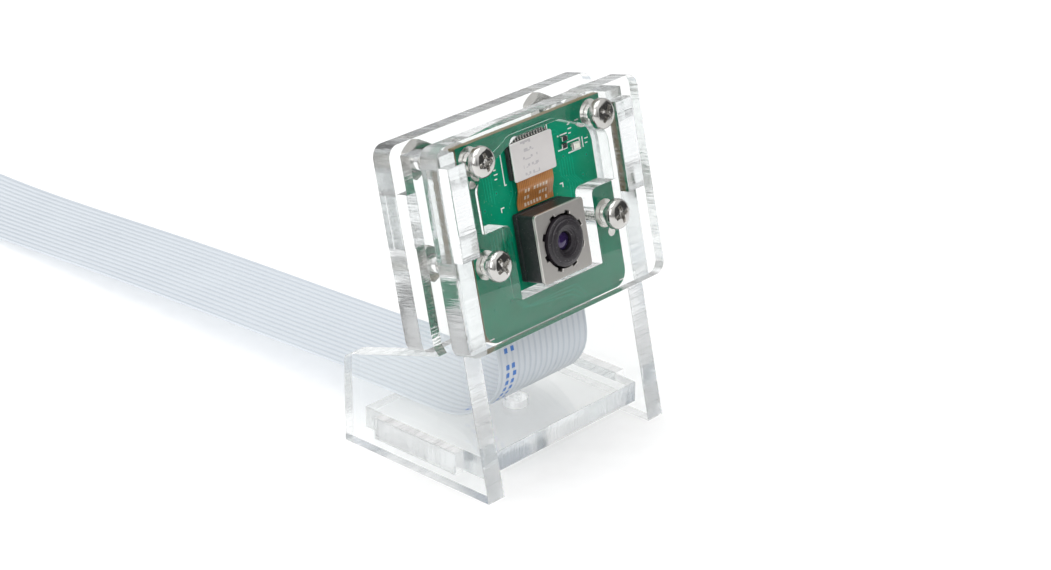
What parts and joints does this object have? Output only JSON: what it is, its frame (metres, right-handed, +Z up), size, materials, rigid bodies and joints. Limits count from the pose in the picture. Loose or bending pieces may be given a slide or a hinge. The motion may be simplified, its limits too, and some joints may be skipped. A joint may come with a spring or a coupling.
{
  "type": "camera board mount",
  "caption": "Clear acrylic tabletop stand that holds a small autofocus camera board between two bolted plates, leaning slightly back, with its flat cable.",
  "frame": {"origin": "on the table, under the middle of the two side plates' feet", "axes": "+Z up; -Y is the front, which the camera looks out of, tipped up 12.8 degrees; X runs across, between the two side plates"},
  "size_m": [0.0354, 0.1424, 0.0434],
  "materials": {
    "acrylic": "laser-cut clear acrylic, polished faces and satin cut edges",
    "solder_mask": "green solder mask over glass-fibre board",
    "nickel": "nickel-plated steel",
    "module_black": "moulded black plastic",
    "module_cover": "bright thin metal cover",
    "sensor_glass": "image sensor under its cover glass",
    "filter_glass": "tinted filter glass",
    "barrel_black": "satin black lens barrel",
    "lens_glass": "coated front lens",
    "flex_film": "amber polyimide film over copper tracks",
    "socket_black": "moulded socket with tinned contacts",
    "plug_plate": "plain bright stiffener plate",
    "led_white": "white ceramic and clear resin",
    "chip_black": "moulded chip body with tinned ends",
    "crystal_can": "gold-toned metal lid on ceramic",
    "connector_cream": "moulded heat-resistant plastic",
    "latch_black": "moulded black plastic",
    "stiffener_blue": "blue stiffening film behind bare contacts",
    "cable_jacket": "white film laminated over flat conductors"
  },
  "bodies": {
    "mount": {"left_side_plate": "acrylic", "right_side_plate": "acrylic", "base_plate": "acrylic", "front_plate": "acrylic", "back_plate": "acrylic", "camera_board": "solder_mask", "screw_lower_left": "nickel", "screw_upper_left": "nickel", "screw_lower_right": "nickel", "screw_upper_right": "nickel", "board_nut_lower_left": "nickel", "board_nut_upper_left": "nickel", "board_nut_lower_right": "nickel", "board_nut_upper_right": "nickel", "back_nut_lower_left": "nickel", "back_nut_upper_left": "nickel", "back_nut_lower_right": "nickel", "back_nut_upper_right": "nickel", "module_base": "module_black", "module_housing": "module_black", "module_cover": "module_cover", "image_sensor": "sensor_glass", "infrared_filter": "filter_glass", "module_flex": "flex_film", "flex_socket": "socket_black", "flex_plug_plate": "plug_plate", "status_led": "led_white", "resistor_upper": "chip_black", "resistor_lower": "chip_black", "crystal": "crystal_can", "regulator": "chip_black", "focus_driver": "chip_black", "cable_connector": "connector_cream", "cable_near_end": "stiffener_blue", "flat_cable": "cable_jacket", "cable_far_end": "stiffener_blue"},
    "lens": {"focus_barrel": "barrel_black", "front_lens": "lens_glass"},
    "latch": {"connector_latch": "latch_black"}
  },
  "joints": [
    {"name": "focus_travel", "type": "slide", "parent": "mount", "child": "lens", "axis": [0, -0.9752, 0.2211], "range_m": [0, 0.00035], "stiffness_N_per_m": 40},
    {"name": "latch_slide", "type": "slide", "parent": "mount", "child": "latch", "axis": [0, -0.2211, -0.9752], "range_m": [0, 0.0012]}
  ]
}
